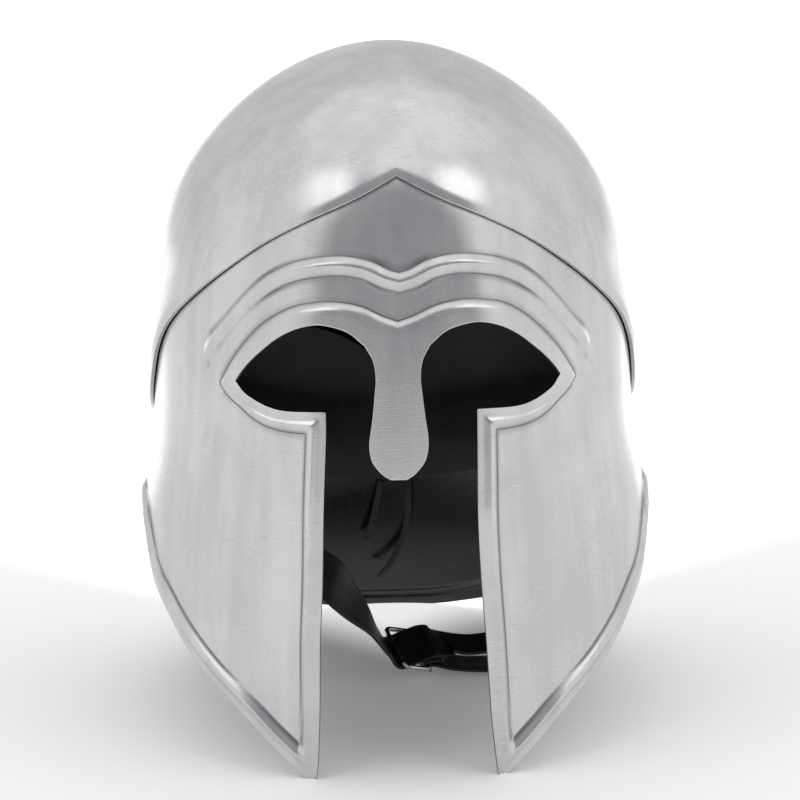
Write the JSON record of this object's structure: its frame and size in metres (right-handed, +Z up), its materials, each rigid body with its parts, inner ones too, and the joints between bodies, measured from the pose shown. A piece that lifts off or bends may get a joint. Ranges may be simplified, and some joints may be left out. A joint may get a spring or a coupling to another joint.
{
  "type": "corinthian helmet",
  "caption": "Closed steel helmet with a raised skull, brow ridges, nasal, long cheeks and a flared neck guard, with a leather liner and a buckled chin strap.",
  "frame": {"origin": "middle of the floor area that the helmet covers as it rests on its cheek tips and neck guard", "axes": "+Z up from the surface it rests on, -Y the way the face looks, +X the viewer's right"},
  "size_m": [0.2174, 0.2537, 0.2819],
  "materials": {
    "steel": "satin polished, black paint inside",
    "black_leather": "smooth black, slight gloss",
    "plated_wire": "nickel plated wire"
  },
  "bodies": {
    "root": {"skull": "steel", "mask": "steel", "liner": "black_leather", "lace_left": "black_leather", "lace_right": "black_leather", "strap_long": "black_leather", "strap_short": "black_leather", "buckle_frame": "plated_wire", "stud_left": "plated_wire", "stud_right": "plated_wire"}
  },
  "joints": []
}
